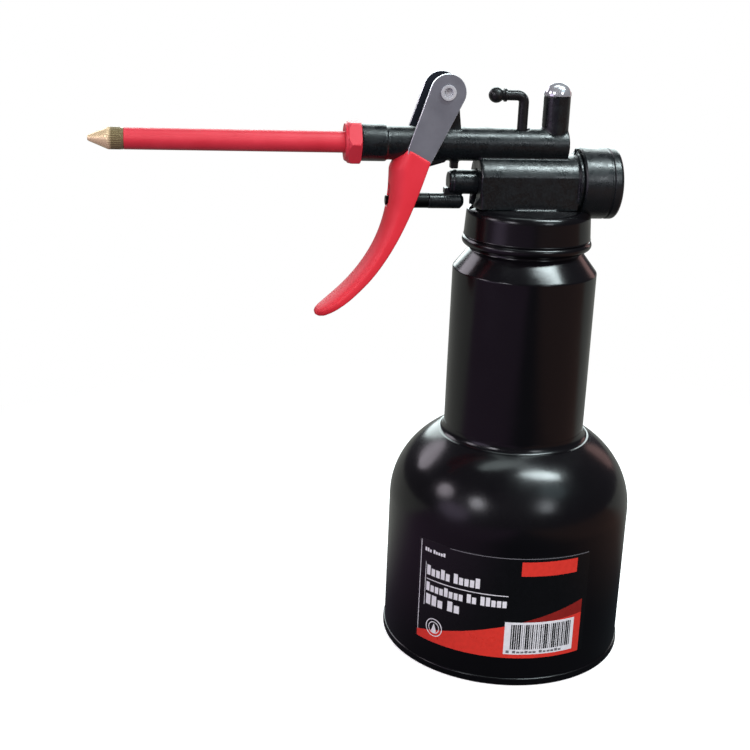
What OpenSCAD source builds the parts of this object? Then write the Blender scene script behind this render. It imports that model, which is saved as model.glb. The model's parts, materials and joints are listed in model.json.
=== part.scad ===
// Pistol-type pump oil can: bottle, screw-on pump head, lever, shut-off cock and spout.
// Origin: the bottle's axis on the plane it stands on. +Z up, the spout points to -X.

/* [Bottle] */
// Diameter over the base seam
base_d = 89.4; // [85:0.1:92]
// Height of the base seam
seam_h = 3; // [2.5:0.1:3.5]
// Wall of the bottle
can_wall = 0.8; // [0.6:0.1:1.0]
// Height where the shoulder dome starts to curve in
shoulder_z = 54; // [50:1:56]
// Rise of the shoulder dome's ellipse
shoulder_rise = 31.5; // [30:0.5:32]
// Diameter of the neck tube
neck_d = 50.8; // [50:0.2:52]
// Height where the neck tube ends and the cone starts
neck_top_z = 141.5; // [138:0.5:143]
// Height of the bottle's mouth
mouth_z = 157; // [156.5:0.1:157.2]
// Diameter of the threaded mouth
mouth_d = 38.6; // [38:0.1:38.8]

/* [Label] */
// Lowest and highest edge of the label
label_z = [11, 50];
// Angle of the label's middle from -Y, towards +X
label_turn = -15; // [-30:1:10]
// Angle that the label covers
label_arc = 85; // [60:1:120]
// Thickness of the label
label_t = 0.12; // [0.1:0.01:0.2]

/* [Screw cap] */
// Diameter over the cap's bottom bead
cap_bead_d = 45.4; // [45:0.1:46]
// Diameter of the cap's wall at the bead and at the top
cap_wall_d = [44.3, 43.4];
// Height of the cap's flat top
cap_top_z = 163.6; // [163.2:0.1:163.8]

/* [Pump barrel] */
// Height of the barrel's axis
barrel_z = 171.9; // [171.5:0.1:172.5]
// Diameter of the barrel
barrel_d = 19.2; // [18.8:0.1:19.6]
// Front and rear end of the barrel
barrel_x = [-19.5, 16.4];
// Bore of the pump chamber
bore_d = 13; // [12:0.1:13.4]
// Stroke of the piston at the lever's limit
stroke = 9.2; // [8:0.1:9.2]
// Diameter of the end cap
end_cap_d = 24.6; // [24:0.1:24.8]
// Rear face of the end cap
end_cap_x = 29.9; // [29:0.1:30]

/* [Bar and spout] */
// Height of the bar's axis
bar_z = 184.8; // [184.5:0.1:185]
// Diameter of the bar
bar_d = 11.4; // [11:0.1:11.5]
// Front and rear end of the bar, without its collar
bar_x = [-51.4, 11.5];
// Diameter of the collar in front of the bar
collar_d = 12.5; // [12:0.1:13]
// Front face of the collar
collar_x = -60.1; // [-60.5:0.1:-59]
// Size of the spout nut across flats
nut_af = 13.5; // [12.5:0.1:14]
// Front face of the nut
nut_x = -65.4; // [-66:0.1:-65]
// Diameter of the spout tube
spout_d = 7.2; // [6.8:0.1:7.4]
// Front end of the spout tube
spout_x = -138.1; // [-140:0.1:-130]
// Front end of the nozzle tip
tip_x = -149.85; // [-152:0.1:-145]

/* [Lever] */
// Pivot of the lever
pivot = [-32, 202.4];
// Radius of the ears' round heads
ear_r = 6.1; // [5.8:0.05:6.2]
// Width over the two ears
ear_w = 14; // [13.6:0.1:14.4]
// Sheet thickness of the lever
lever_t = 1.2; // [1:0.1:1.3]
// Thickness of the grip's skin
skin_t = 0.5; // [0.4:0.05:0.6]
// Angle of the lever's full pull
lever_pull = 14; // [10:0.5:14]
// Place of the drive pin
drive = [-44.8, 165.3];

/* [Cock and tower] */
// Distance of the outlet tower behind the bottle's axis
tower_x = 7.2; // [7:0.1:7.4]
// Diameter of the tower
tower_d = 9.2; // [8.8:0.1:9.4]
// Height of the tower under its dome
tower_top_z = 201.7; // [201.5:0.1:202.2]
// Distance of the cock in front of the bottle's axis
cock_x = -4.4; // [-4.6:0.1:-4.2]
// Diameter of the cock's handle rod
rod_d = 3.5; // [3.3:0.1:3.7]
// Height of the handle's arm
arm_z = 201.4; // [201:0.1:202.2]
// Diameter and place of the handle's ball
knob_d = 5.3; // [5:0.1:5.6]
// Place of the handle's ball along the arm
knob_x = -14.1; // [-15:0.1:-13]

/* [Hidden] */
$fn = 64;
eps = 0.01;

// Bottle
body_r = base_d / 2 - 0.5;
neck_r = neck_d / 2;
mouth_r = mouth_d / 2;
dome_r = 9;
dome_steps = 20;
foot_r = neck_r + 2.2;
foot_top_z = 84.1;
cone_top_z = 148.8;
seam_t = 0.5;
panel_z = 2.4;

// Pump chamber: everything is set out from the piston's rest place
piston_x = -6.5;
piston_t = 3.5;
rod_r = 3;
boss_r = 4.2;
boss_x = [-29.3, -18.3];
guide_r = 2.7;
guide_z = drive[1];
guide_x = [-36, -23.6];
push_x = -50.8;
slide_gap = 0.35;
run_gap = 0.05;
pocket_x = boss_x[1] + stroke + 0.4;
low_pocket_x = guide_x[1] + stroke + 0.6;
spigot_x = 20.4;
spigot_r = 8.6;
seat_x = 27;
inlet_x = 8;
stem_r = 12;
// Cast saddle under the barrel: flat sides, rounded in plan
saddle_y = 9.1;
saddle_r = 20.9;
lug_half = 3;
head_r = 2.6;
stud_r = 1.6;
dome_cap_r = 4.75;
spindle_top_z = 189;

// Lever
ear_in = ear_w / 2 - lever_t;
grip_w = ear_w / 2 + skin_t;
rivet_r = 2;
pin_r = 1.2;
flow_r = 1.2;
chamber_r = 2.6;
chamber_z = 181.5;
ball_r = 1.9;
spindle_r = 2.6;
bar_bore_r = 2;

// The lever's front line (the nose) and its rear edges, each one smooth curve down to the tip
nose_line = [[-49.9, 176.5], [-49.6, 160], [-52.2, 143.5], [-75.3, 126.5]];
edge_line = [[-36.8, 179.3], [-41.5, 165], [-49, 136.5], [-73.2, 124.4]];
ear_low = [[-44.6, 183.6], [-36.6, 179.2]];

function bezier(p, t) = pow(1 - t, 3) * p[0] + 3 * pow(1 - t, 2) * t * p[1]
    + 3 * (1 - t) * t * t * p[2] + pow(t, 3) * p[3];

// Depth of the rounded nose where the lever is len deep, and its lap onto the side plates
function nose_n(len) = min(5.5, 0.6 * len);
nose_lap = 0.3;
// Station where the steel side plates end inside the grip
plate_end_t = 0.66;
// Above its first station the lever runs on straight towards the ears
function nose_at(t) = t >= 0 ? bezier(nose_line, t) : nose_line[0] + t * [-30, -70];
function edge_at(t) = t >= 0 ? bezier(edge_line, t) : edge_line[0] + t * [-46, -88];

function dome(z, t) = dome_r + (body_r - dome_r - t)
    * sqrt(max(0, 1 - pow((z - shoulder_z) / (shoulder_rise - t), 2)));

// Height at which the dome, less a wall of t, has the radius r
function dome_z(r, t) = shoulder_z + (shoulder_rise - t)
    * sqrt(1 - pow((r - dome_r) / (body_r - dome_r - t), 2));

// A solid of revolution about the X axis, drawn as [x, r] points
module turned_x(points) {
    rotate([90, 0, 90]) rotate_extrude() polygon([for (p = points) [p[1], p[0]]]);
}

// A cylinder along X from x0 to x1 at height z
module rod_x(x0, x1, z, r) {
    translate([x0, 0, z]) rotate([0, 90, 0]) cylinder(h = x1 - x0, r = r);
}

module ring_x(x0, x1, z, r_in, r_out) {
    difference() {
        rod_x(x0, x1, z, r_out);
        rod_x(x0 - 1, x1 + 1, z, r_in);
    }
}

// A cylinder along Y through the point p of the XZ plane, w wide in all
module rod_y(p, w, r) {
    translate([p[0], w / 2, p[1]]) rotate([90, 0, 0]) cylinder(h = w, r = r);
}

// An outline in the XZ plane, given a width in Y
module plate_y(y0, y1) {
    translate([0, y1, 0]) rotate([90, 0, 0]) linear_extrude(y1 - y0) children();
}

// A round wire wound into a spring along +Z, with flat-lying end turns
module coil(r, wire_r, h, turns) {
    steps = 14;
    sides = 8;
    n = turns * steps;
    function rise(i) = let (u = i / n * turns)
        h * (u < 1 ? 0.1 * u / 2 : u > turns - 1 ? 1 - 0.1 * (turns - u) / 2
        : 0.05 + 0.9 * (u - 1) / (turns - 2));
    points = [for (i = [0:n], k = [0:sides - 1])
        let (a = i * 360 / steps, b = k * 360 / sides)
        [(r + wire_r * cos(b)) * cos(a), (r + wire_r * cos(b)) * sin(a),
            rise(i) + wire_r * sin(b)]];
    sides_faces = [for (i = [0:n - 1], k = [0:sides - 1])
        let (a = i * sides + k, b = i * sides + (k + 1) % sides)
        [a, a + sides, b + sides, b]];
    polyhedron(points, concat(sides_faces, [[for (k = [0:sides - 1]) k],
        [for (k = [sides - 1:-1:0]) n * sides + k]]), convexity = 8);
}

// The lever's solid form between two stations: a rounded nose and flat sides.
// inset draws the surface in, rear moves the rear edge forwards, and nose_only ends the
// form behind the rounded nose.
module lever_form(inset, rear, t0, t1, stations, nose_only = false) {
    arc = 8;
    loop = arc + 3;
    // the sides are parallel down to the end of the ear plates, and round off at the tip
    function half_w(t) = (grip_w - 2 * max(t - plate_end_t, 0)) * (t > 0.88
        ? sqrt(1 - 0.75 * pow((t - 0.88) / 0.12, 2)) : 1) - inset;
    points = [for (s = [0:stations])
        let (t = t0 + (t1 - t0) * s / stations, f = nose_at(t), e = edge_at(t),
            len = norm(e - f), d = (e - f) / len, n = nose_n(len), w = half_w(t),
            back = nose_only ? n : len - rear,
            outline = concat([[back, w]],
                [for (k = [0:arc]) let (a = 90 - k * 180 / arc)
                    [n - (n - inset) * cos(a), w * sin(a)]],
                [[back, -w]]))
        for (p = outline) [f[0] + d[0] * p[0], p[1], f[1] + d[1] * p[0]]];
    wall = [for (s = [0:stations - 1], k = [0:loop - 1])
        let (a = s * loop + k, b = s * loop + (k + 1) % loop)
        each [[a, b, a + loop], [b, b + loop, a + loop]]];
    polyhedron(points, concat(wall, [[for (k = [loop - 1:-1:0]) k],
        [for (k = [0:loop - 1]) stations * loop + k]]), convexity = 6);
}

// ---- Bottle ----

module can_body() color("#141417") {
    top_in = dome_z(neck_r, can_wall);
    fillet_z = dome_z(foot_r, 0);
    zs = [for (i = [0:dome_steps]) shoulder_z + (fillet_z - shoulder_z) * sin(90 * i / dome_steps)];
    zi = [for (i = [dome_steps:-1:0]) shoulder_z + (top_in - shoulder_z) * sin(90 * i / dome_steps)];
    rotate_extrude($fn = 128) polygon(concat(
        [[body_r - can_wall, seam_t + 0.1], [body_r, seam_t + 0.1]],
        [for (z = zs) [dome(z, 0), z]],
        // hollow fillet up to the neck
        [for (a = [75:-15:0]) [neck_r + 0.2 + (foot_r - neck_r - 0.2) * (1 - cos(a)),
            foot_top_z - (foot_top_z - fillet_z) * sin(a)]],
        [[neck_r, foot_top_z]],
        [for (z = zi) [dome(z, can_wall), z]]));
}

module can_neck() color("#141417") {
    in_r = neck_r - can_wall;
    roll_r = 0.7;
    difference() {
        rotate_extrude($fn = 128) polygon([[in_r, 79.5], [neck_r, 79.5], [neck_r, neck_top_z - 0.8],
            [neck_r - 0.25, neck_top_z + 0.4], [mouth_r + 1.3, cone_top_z - 0.9],
            [mouth_r, cone_top_z + 0.4],
            [mouth_r, mouth_z - 0.4], [mouth_r - 0.4, mouth_z], [mouth_r - 1.4, mouth_z],
            [mouth_r - 1.4, cone_top_z], [mouth_r + 0.1, cone_top_z - 1.6],
            [in_r, neck_top_z - 0.2]]);
        for (z = [151.6, 153.6, 155.6])
            translate([0, 0, z]) rotate_extrude() translate([mouth_r + 0.35, 0]) circle(roll_r, $fn = 24);
    }
}

module base_plate() color("#141417") {
    r_out = base_d / 2;
    lip_r = body_r - can_wall - 0.7;
    rotate_extrude($fn = 128) polygon(concat(
        [[0, panel_z], [lip_r - 1.5, panel_z], [lip_r, panel_z - 0.8], [lip_r, 0.5], [lip_r + 0.4, 0]],
        [for (a = [-90:22.5:0]) [r_out - 0.9 + 0.9 * cos(a), 0.9 + 0.9 * sin(a)]],
        [for (a = [0:22.5:90]) [r_out - 0.5 + 0.5 * cos(a), seam_h - 0.5 + 0.5 * sin(a)]],
        [[body_r, seam_h], [body_r, seam_t + 0.1], [body_r - can_wall, seam_t + 0.1],
            [body_r - can_wall, panel_z + 0.8], [0, panel_z + 0.8]]));
}

module label() color("#1b1b1e") {
    rotate([0, 0, -90 + label_turn - label_arc / 2]) rotate_extrude(angle = label_arc, $fn = 128)
        translate([body_r, label_z[0]]) square([label_t, label_z[1] - label_z[0]]);
}

module head_gasket() color("#2a2a2a") {
    translate([0, 0, mouth_z]) difference() {
        cylinder(h = 1.5, r = mouth_r - 0.2);
        translate([0, 0, -1]) cylinder(h = 4, r = stem_r + 1);
    }
}

// ---- Pump head ----

module screw_cap() color("#141417") {
    bead_r = cap_bead_d / 2;
    low_r = cap_wall_d[0] / 2;
    top_r = cap_wall_d[1] / 2;
    in_r = mouth_r + 0.5;
    corner = 3;
    roof_z = mouth_z + 1.5;
    skirt_z = 149.5;
    roll_r = 1.6;
    difference() {
        rotate_extrude($fn = 128) polygon(concat(
            [[stem_r, roof_z], [in_r, roof_z], [in_r, skirt_z], [low_r - 0.9, skirt_z]],
            [for (a = [-60:20:60]) [bead_r - roll_r + roll_r * cos(a), skirt_z + roll_r + 0.3 + roll_r * sin(a)]],
            [[low_r, skirt_z + 2 * roll_r + 0.5]],
            [for (a = [0:15:90]) [top_r - corner + corner * cos(a), cap_top_z - corner + corner * sin(a)]],
            [[stem_r, cap_top_z]]));
        rod_x(barrel_x[0], barrel_x[1] + 10, barrel_z, barrel_d / 2);
        rod_x(barrel_x[1] - 1.4, barrel_x[1] + 10, barrel_z, end_cap_d / 2 + 0.3);
        rod_x(-low_r - 1, low_pocket_x, guide_z, guide_r + slide_gap);
    }
}

// Triangular lug on the bar that carries the lever's rivet, with a boss on each side
module pivot_lug() {
    plate_y(-lug_half, lug_half) hull() {
        translate(pivot) circle(4.2);
        polygon([[-39, bar_z + 3], [-26, bar_z + 3], [-26.2, 190.8], [-27.7, 195.1]]);
    }
    rod_y(pivot, 2 * (ear_in - 0.2), 3.4);
}

// Barrel and the saddle that carries it on the screw cap, with flat sides
module barrel_and_saddle() {
    barrel_r = barrel_d / 2;
    flange_x = barrel_x[1] - 1.4;
    intersection() {
        union() {
            translate([0, 0, barrel_z]) turned_x([[barrel_x[0], 0], [barrel_x[0], barrel_r - 0.6],
                [barrel_x[0] + 0.6, barrel_r], [flange_x, barrel_r], [flange_x, 0]]);
            intersection() {
                plate_y(-saddle_y, saddle_y) polygon([[barrel_x[0] - 1.4, cap_top_z],
                    [barrel_x[0], cap_top_z + 4], [barrel_x[0], barrel_z], [flange_x, barrel_z],
                    [flange_x, cap_top_z]]);
                translate([0, 0, cap_top_z]) cylinder(h = 20, r = saddle_r);
            }
        }
        translate([-30, -saddle_y, 150]) cube([60, 2 * saddle_y, 40]);
    }
}

module pump_body() color("#17191a") {
    bar_r = bar_d / 2;
    flange_r = 10.7;
    difference() {
        union() {
            rod_x(bar_x[0], bar_x[1], bar_z, bar_r);
            rod_x(collar_x, bar_x[0], bar_z, collar_d / 2);
            barrel_and_saddle();
            // flange that the end cap seats on, and the spigot inside it
            rod_x(barrel_x[1] - 1.4, barrel_x[1], barrel_z, flange_r);
            rod_x(barrel_x[1] - 2, spigot_x, barrel_z, spigot_r);
            // web between the bar and the barrel
            translate([barrel_x[0] + 3, -3, barrel_z]) cube([bar_x[1] - barrel_x[0] - 3, 6, bar_z - barrel_z]);
            // stem through the screw cap
            translate([0, 0, mouth_z + 1.5]) cylinder(h = cap_top_z - mouth_z - 1.5, r = stem_r);
            translate([tower_x, 0, bar_z]) cylinder(h = tower_top_z - bar_z, r = tower_d / 2);
            pivot_lug();
            // rib that keeps the crosshead from lifting
            translate([-28.8, -1.5, barrel_z + boss_r + 0.35])
                cube([2.6, 3, bar_z - barrel_z - boss_r - 3]);
            // cast wedge under the bar, between the ears
            plate_y(-lug_half, lug_half) polygon([[-37, bar_z - 4], [-37, bar_z - bar_r - 2],
                [-31, bar_z - bar_r - 0.2], [-31, bar_z - 4]]);
            translate([15.4, 0, barrel_z + 10]) cylinder(h = 2, r = 0.7);
        }
        // pump chamber and its front wall with the gland
        rod_x(piston_x - 0.5, spigot_x + 1, barrel_z, bore_d / 2);
        rod_x(pocket_x - 1, piston_x, barrel_z, 4);
        // pocket that the crosshead slides into
        rod_x(-saddle_r - 1, pocket_x, barrel_z, boss_r + slide_gap);
        rod_x(-saddle_r - 1, low_pocket_x, guide_z, guide_r + slide_gap);
        // inlet from below
        translate([inlet_x, 0, mouth_z]) cylinder(h = 6, r = 3.9);
        translate([inlet_x, 0, mouth_z]) cylinder(h = barrel_z - mouth_z, r = flow_r + 0.3);
        // outlet: port, valve chamber and the channel in the bar
        translate([tower_x, 0, barrel_z]) cylinder(h = 12, r = flow_r);
        translate([tower_x, 0, chamber_z]) cylinder(h = 30, r = chamber_r);
        rod_x(collar_x - 1, tower_x, bar_z, bar_bore_r);
        rod_x(collar_x - 1, collar_x + 5, bar_z, spout_d / 2 + 0.7);
        translate([cock_x, 0, bar_z - 4.2]) cylinder(h = 20, r = spindle_r + run_gap);
        // hole for the lever's rivet
        rod_y(pivot, 20, rivet_r + run_gap);
    }
}

module barrel_end_cap() color("#1d2021") {
    r = end_cap_d / 2;
    translate([0, 0, barrel_z]) turned_x(concat(
        [[barrel_x[1], spigot_r], [barrel_x[1], r - 0.5], [barrel_x[1] + 0.5, r],
            [25.6, r], [25.9, r - 0.5], [26.5, r - 0.5], [26.8, r]],
        [for (a = [90:-18:0]) [end_cap_x - 1.4 + 1.4 * cos(a), r - 1.4 + 1.4 * sin(a)]],
        [[end_cap_x, r - 2.6], [end_cap_x - 0.5, r - 3.1], [end_cap_x - 0.5, 0],
            [seat_x, 0], [seat_x, bore_d / 2], [spigot_x + 0.5, bore_d / 2], [spigot_x + 0.5, spigot_r]]));
}

module end_cap_seal() color("#333333") {
    ring_x(spigot_x, spigot_x + 0.5, barrel_z, bore_d / 2 + 0.2, spigot_r);
}

module gland_seal() color("#333333") {
    ring_x(pocket_x + 0.1, piston_x - 0.6, barrel_z, rod_r + run_gap, 4);
}

module inlet_valve_body() color("#c8c8c4") {
    translate([inlet_x, 0, 0]) difference() {
        union() {
            translate([0, 0, mouth_z - 9]) cylinder(h = 15, r = 3.9);
            translate([0, 0, mouth_z - 9]) cylinder(h = 2, r = 4.4, $fn = 6);
        }
        translate([0, 0, mouth_z - 10]) cylinder(h = 4, r = 2.5);
        translate([0, 0, mouth_z - 7]) cylinder(h = 14, r = flow_r);
        translate([0, 0, mouth_z - 3]) cylinder(h = 10, r = chamber_r);
        translate([-3.7, 0, mouth_z + 3.6]) rotate([0, 90, 0]) cylinder(h = 7.4, r = 0.6);
    }
}

// Cross pin over the inlet ball, so that it can't rise too far
module inlet_valve_pin() color("#9a9a9a") {
    translate([inlet_x - 3.7, 0, mouth_z + 3.6]) rotate([0, 90, 0]) cylinder(h = 7.4, r = 0.6);
}

module suction_tube() color("#dcdcd2") {
    translate([inlet_x, 0, 8]) difference() {
        cylinder(h = mouth_z - 6 - 8, r = 2.5);
        translate([0, 0, -1]) cylinder(h = mouth_z, r = 1.7);
    }
}

module suction_strainer() color("#b8b8b0") {
    translate([inlet_x, 0, 5]) difference() {
        cylinder(h = 9, r = 3.6);
        translate([0, 0, 3]) cylinder(h = 7, r = 2.5);
        translate([0, 0, 1]) cylinder(h = 3, r = 1.7);
        for (a = [0:90:135]) rotate([0, 90, a]) translate([-1.9, 0, -5]) cylinder(h = 10, r = 0.7);
    }
}

module outlet_valve_cap() color("#d8d8dc") {
    r = dome_cap_r;
    translate([tower_x, 0, tower_top_z]) {
        intersection() {
            sphere(r, $fn = 96);
            cylinder(h = 2 * r, r = r);
        }
        translate([0, 0, -3.4]) cylinder(h = 3.4 + eps, r = chamber_r);
    }
}

module outlet_valve_spring() color("#b0b0b0") {
    base = chamber_z + 3.7;
    translate([tower_x, 0, base]) coil(1.7, 0.3, tower_top_z - 3.8 - base, 8);
}

// ---- Spout ----

module spout_nut() color("#cf2030") {
    tip_r = nut_af / 2 - 0.2;
    difference() {
        union() {
            intersection() {
                // two flats face up and down
                translate([nut_x + 0.9, 0, bar_z]) rotate([0, 90, 0]) rotate(30)
                    cylinder(h = collar_x - nut_x - 0.9, r = nut_af / sqrt(3), $fn = 6);
                translate([0, 0, bar_z]) turned_x([[nut_x, 0], [nut_x, 6.3], [nut_x + 2, 7.7],
                    [collar_x - 0.6, 7.7], [collar_x, 7.1], [collar_x, 0]]);
            }
            translate([0, 0, bar_z]) turned_x([[nut_x, 0], [nut_x, tip_r - 0.4],
                [nut_x + 0.9, tip_r], [nut_x + 0.9, 0]]);
        }
        rod_x(nut_x - 1, collar_x + 1, bar_z, spout_d / 2);
    }
}

// Flared end that the nut presses into the collar
module spout_ferrule() color("#b08d3c") {
    ring_x(collar_x, collar_x + 4.5, bar_z, spout_d / 2, spout_d / 2 + 0.7);
}

module spout_tube() color("#cf2030") {
    ring_x(spout_x, collar_x + 4.5, bar_z, bar_bore_r, spout_d / 2);
}

module nozzle_tip() color("#8a7440") {
    r = spout_d / 2 + 0.05;
    neck_x = spout_x - 4.9;
    difference() {
        translate([0, 0, bar_z]) turned_x([[spout_x, 0], [spout_x, r], [neck_x, r],
            [tip_x + 0.4, 1.05], [tip_x, 0.75], [tip_x, 0]]);
        rod_x(tip_x - 1, spout_x + 1, bar_z, 0.4);
        rod_x(neck_x, spout_x + 1, bar_z, bar_bore_r);
    }
}

// ---- Plunger set ----

module crosshead() color("#17191a") {
    difference() {
        union() {
            translate([0, 0, barrel_z]) turned_x([[boss_x[0], 0], [boss_x[0], boss_r - 0.9],
                [boss_x[0] + 0.5, boss_r - 0.3], [boss_x[0] + 1.2, boss_r - 0.3],
                [boss_x[0] + 1.2, boss_r - 0.6], [boss_x[0] + 1.7, boss_r],
                [boss_x[1], boss_r], [boss_x[1], 0]]);
            translate([0, 0, guide_z]) turned_x([[guide_x[0], 0], [guide_x[0], guide_r],
                [guide_x[1] - 1.2, guide_r], [guide_x[1], guide_r - 1.2], [guide_x[1], 0]]);
            // web that joins the round boss to the guide
            translate([boss_x[0] - 1.2, -1.8, guide_z]) cube([5.4, 3.6, barrel_z - guide_z - 2]);
        }
        rod_x(boss_x[0] + 4, boss_x[1] + 1, barrel_z, rod_r);
        rod_x(guide_x[0] - 1, guide_x[0] + 5, guide_z, 1.5);
    }
}

module push_rod() color("#3a3c3e") {
    eye_x = drive[0];
    eye_r = 2.6;
    // heights of the two ends of the slot that the drive pin slides in
    eye_z = [guide_z - 2.7, guide_z + 1];
    difference() {
        union() {
            rod_x(push_x, eye_x, guide_z, stud_r);
            rod_x(eye_x, guide_x[0], guide_z, guide_r - 0.1);
            rod_x(guide_x[0] - 1, guide_x[0] + 5, guide_z, 1.5);
            plate_y(-2, 2) hull() for (z = eye_z) translate([eye_x, z]) circle(eye_r);
        }
        plate_y(-4, 4) hull() for (z = eye_z) translate([eye_x, z]) circle(pin_r + slide_gap);
    }
}

module plunger_rod() color("#b9bcc0") {
    difference() {
        rod_x(boss_x[0] + 4, piston_x, barrel_z, rod_r);
        rod_x(piston_x - 4, piston_x + 1, barrel_z, 1.2);
    }
}

module piston() color("#b9bcc0") {
    r = bore_d / 2 - run_gap;
    difference() {
        translate([0, 0, barrel_z]) turned_x([[piston_x, 0], [piston_x, r], [piston_x + 0.8, r],
            [piston_x + 0.8, r - 1.1], [piston_x + 2.6, r - 1.1], [piston_x + 2.6, r],
            [piston_x + piston_t, r], [piston_x + piston_t, 0]]);
        rod_x(piston_x - 1, piston_x + piston_t + 1, barrel_z, 1.2);
    }
}

module piston_seal() color("#2b2b2b") {
    ring_x(piston_x + 0.8, piston_x + 2.6, barrel_z, bore_d / 2 - run_gap - 1.1, bore_d / 2 - run_gap);
}

module piston_screw() color("#9a9a9a") {
    head_x = piston_x + piston_t;
    difference() {
        union() {
            rod_x(piston_x - 4, head_x, barrel_z, 1.2);
            rod_x(head_x, head_x + 1.3, barrel_z, 2.2);
        }
        translate([head_x + 0.6, -3, barrel_z - 0.3]) cube([2, 6, 0.6]);
    }
}

module return_spring() color("#b0b0b0") {
    x0 = piston_x + piston_t + 0.55;
    translate([x0, 0, barrel_z]) rotate([0, 90, 0]) coil(4.6, 0.5, seat_x - 0.55 - x0, 9);
}

// ---- Lever ----

// Point where a line from p touches the circle of radius r round c, on the side s
function touch(c, r, p, s) = let (d = p - c, l = norm(d), a = atan2(d[1], d[0]) + s * acos(r / l))
    c + r * [cos(a), sin(a)];

// Outline of one ear, from the round head down into the grip, where it reaches the station t
module ear_outline(t_end) {
    front = [for (t = [0:0.06:t_end]) let (f = nose_at(t), e = edge_at(t))
        f + (e - f) / norm(e - f) * (nose_n(norm(e - f)) - nose_lap)];
    rear = [for (t = [t_end:-0.06:0.05]) let (f = nose_at(t), e = edge_at(t))
        e + (f - e) / norm(e - f) * 0.6];
    translate(pivot) circle(ear_r, $fn = 96);
    polygon(concat([touch(pivot, ear_r, ear_low[0], -1), ear_low[0]], front, rear,
        [ear_low[1], touch(pivot, ear_r, ear_low[1], 1)]));
}

// Space that the bar and its movement need between the ears
module bar_room() {
    rod_x(-70, -20, bar_z, bar_d / 2 + 0.5);
    translate([-70, -bar_d / 2 - 0.5, bar_z]) cube([50, bar_d + 1, 30]);
}

// Slot for the push rod's stud, which rises in the lever's nose as the lever swings
module rod_slot() {
    half = stud_r + 0.4;
    rise = 3.8;
    hull() {
        rod_x(-56, -44, guide_z, half, $fn = 32);
        rod_x(-56, -44, guide_z + rise, half, $fn = 32);
    }
}

// Everything above the lever's front shoulder, which slants from the nose up to the ears
module above_shoulder() {
    plate_y(-20, 20) polygon([[-60, 179.2], [-50, 179.2], [-46.7, 180.9], ear_low[0],
        [ear_low[0][0], 200], [-60, 200]]);
}

module lever_sides() {
    for (s = [-1, 1]) plate_y(s > 0 ? ear_in : -ear_w / 2, s > 0 ? ear_w / 2 : -ear_in)
        ear_outline(plate_end_t);
}

// The steel's rounded front, inside the grip's skin
module steel_nose() {
    difference() {
        lever_form(skin_t, 0.6, -0.08, 0.84, 20, true);
        lever_form(skin_t + lever_t, -6, -0.3, 0.9, 24);
    }
}

module lever_plate() color("#74777b") {
    difference() {
        lever_sides();
        rod_y(pivot, 20, rivet_r);
        rod_y(drive, 20, pin_r);
    }
}

// Rounded front of the lever, welded to the two side plates
module lever_nose() color("#74777b") {
    difference() {
        steel_nose();
        lever_sides();
        bar_room();
        rod_slot();
        above_shoulder();
        rod_y(drive, 20, pin_r);
    }
}

module lever_grip() color("#d8232f") {
    difference() {
        lever_form(0, 0, -0.16, 1, 24);
        lever_form(skin_t + lever_t + 0.4, -6, -0.4, 0.8, 24);
        steel_nose();
        lever_sides();
        bar_room();
        rod_slot();
        above_shoulder();
        // slanted top edge of the dipped skin
        plate_y(-20, 20) polygon([ear_low[0], ear_low[1], [-20, 170], [-20, 200], [ear_low[0][0], 200]]);
        rod_y(drive, ear_w, pin_r);
    }
}

module pivot_rivet() color("#c9ccd0") {
    head_t = 0.5;
    difference() {
        union() {
            rod_y(pivot, ear_w, rivet_r);
            for (s = [-1, 1]) translate([pivot[0], s * (ear_w / 2 + head_t / 2) + head_t / 2, pivot[1]])
                rotate([90, 0, 0]) cylinder(h = head_t, r = head_r);
        }
        // each end is hollow
        for (s = [-1, 1]) translate([0, s * ear_w / 2, 0]) rod_y(pivot, 3, 1.55);
    }
}

module drive_pin() color("#8b8e92") {
    rod_y(drive, ear_w, pin_r);
}

// ---- Shut-off cock ----

module cock_handle() color("#17181a") {
    bend_r = 2.3;
    r = rod_d / 2;
    translate([cock_x, 0, 0]) difference() {
        union() {
            translate([0, 0, bar_z - 4]) cylinder(h = spindle_top_z - bar_z + 4, r = spindle_r);
            translate([0, 0, bar_z]) cylinder(h = arm_z - bend_r - bar_z, r = r);
            translate([-bend_r, 0, arm_z - bend_r]) rotate([90, 0, 0])
                rotate_extrude(angle = 90) translate([bend_r, 0]) circle(r);
        }
        rotate([0, 90, 0]) translate([-bar_z, 0, -5]) cylinder(h = 10, r = flow_r);
        translate([0, 0, bar_z + 3]) difference() {
            cylinder(h = 1.2, r = spindle_r + 1);
            translate([0, 0, -1]) cylinder(h = 3, r = spindle_r - 0.7);
        }
    }
    rod_x(knob_x + 2, cock_x - bend_r, arm_z, r);
    rod_x(-11.4, -10.6, arm_z, r + 0.45);
}

module cock_knob() color("#17181a") {
    difference() {
        translate([knob_x, 0, arm_z]) sphere(knob_d / 2);
        rod_x(knob_x + 2, knob_x + 5, arm_z, rod_d / 2);
    }
}

module cock_seal() color("#2b2b2b") {
    translate([cock_x, 0, bar_z + 3]) difference() {
        cylinder(h = 1.2, r = spindle_r);
        translate([0, 0, -1]) cylinder(h = 3, r = spindle_r - 0.7);
    }
}

// Clip ring in the top of the spindle's bore that holds the spindle down
module cock_clip() color("#9a9a9a") {
    translate([cock_x, 0, spindle_top_z + run_gap]) difference() {
        cylinder(h = 0.5, r = spindle_r + run_gap);
        translate([0, 0, -1]) cylinder(h = 3, r = rod_d / 2 + run_gap);
    }
}

// ---- Valve balls ----

module inlet_ball() color("#c9ccd0") {
    translate([inlet_x, 0, mouth_z - 3 + sqrt(ball_r * ball_r - flow_r * flow_r) + eps]) sphere(ball_r);
}

module outlet_ball() color("#c9ccd0") {
    translate([tower_x, 0, chamber_z + sqrt(ball_r * ball_r - flow_r * flow_r) + eps]) sphere(ball_r);
}

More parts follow.
